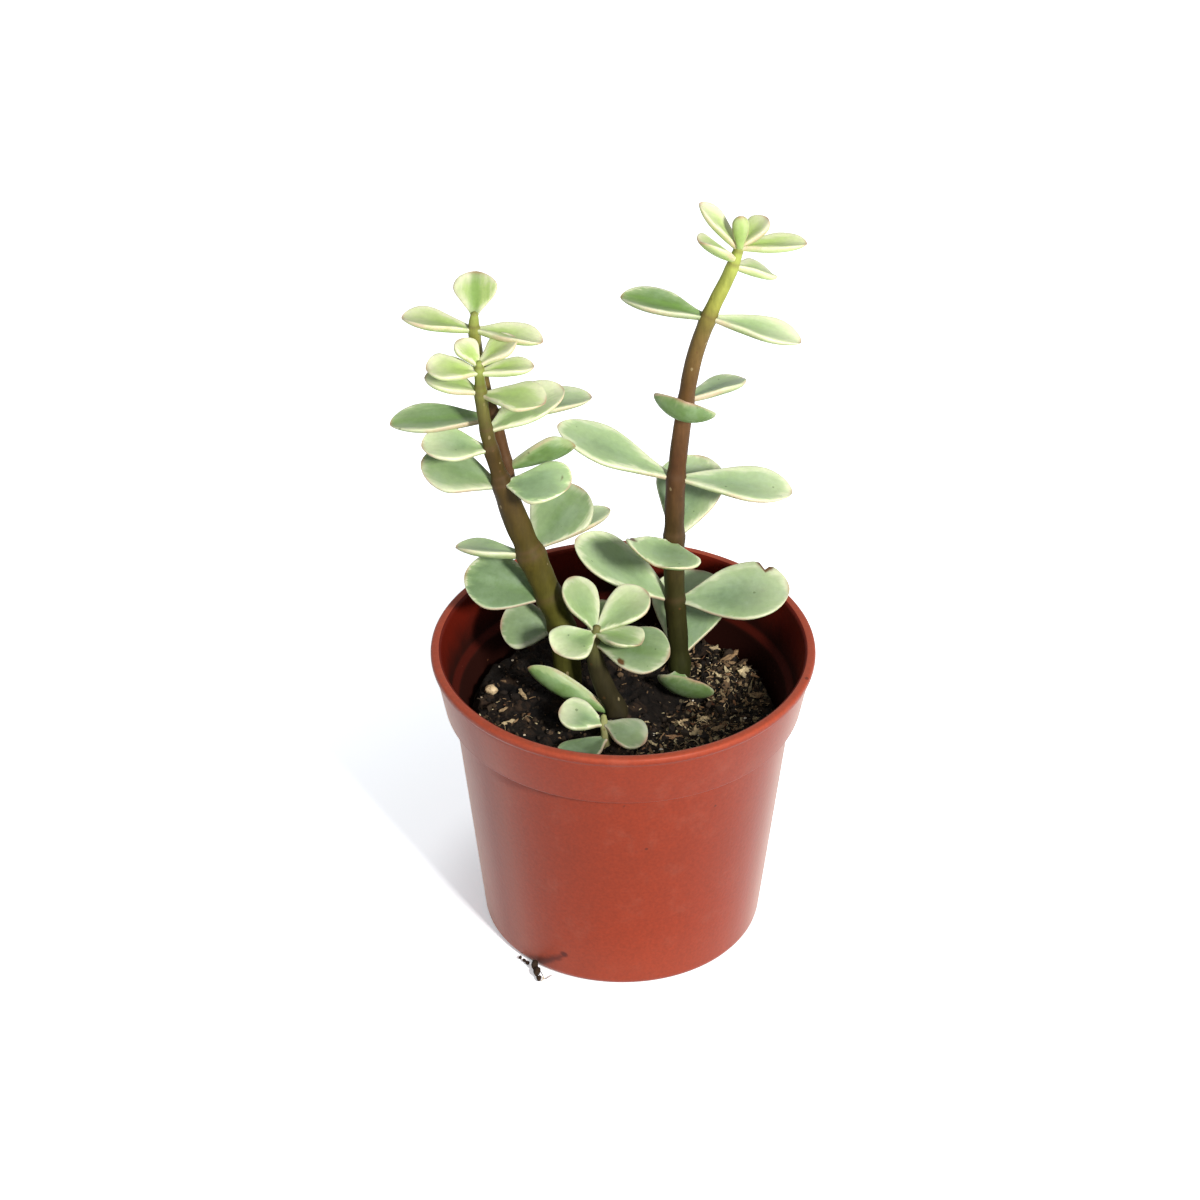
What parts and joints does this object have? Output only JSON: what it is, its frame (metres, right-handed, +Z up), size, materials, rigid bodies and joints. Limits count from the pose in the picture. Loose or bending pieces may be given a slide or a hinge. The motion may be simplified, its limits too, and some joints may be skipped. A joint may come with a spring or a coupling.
{
  "type": "potted elephant bush",
  "caption": "Small variegated succulent bush with upright leafy stems rooted in potting mix, in a tapered round plastic nursery pot with a stepped collar.",
  "frame": {"origin": "centre of the underside of the pot's floor, on the surface that it stands on", "axes": "+Z up along the pot's axis, +Y away from the viewer, +X to the viewer's right, with the tall single stem on the +X side"},
  "size_m": [0.0602, 0.055, 0.112],
  "materials": {
    "pot_plastic": "terracotta coloured moulded polypropylene, satin, with faint flow marks and dust",
    "potting_mix": "damp dark peat with tan bark chips, fibres and white mineral grains",
    "foliage": "waxy fleshy leaves, grey-green with cream margins and a thin pink edge, on brown to olive bark"
  },
  "bodies": {
    "root": {"pot": "pot_plastic", "soil": "potting_mix", "right_stem": "foliage", "left_stem": "foliage", "front_shoot": "foliage", "seedling": "foliage"}
  },
  "joints": []
}
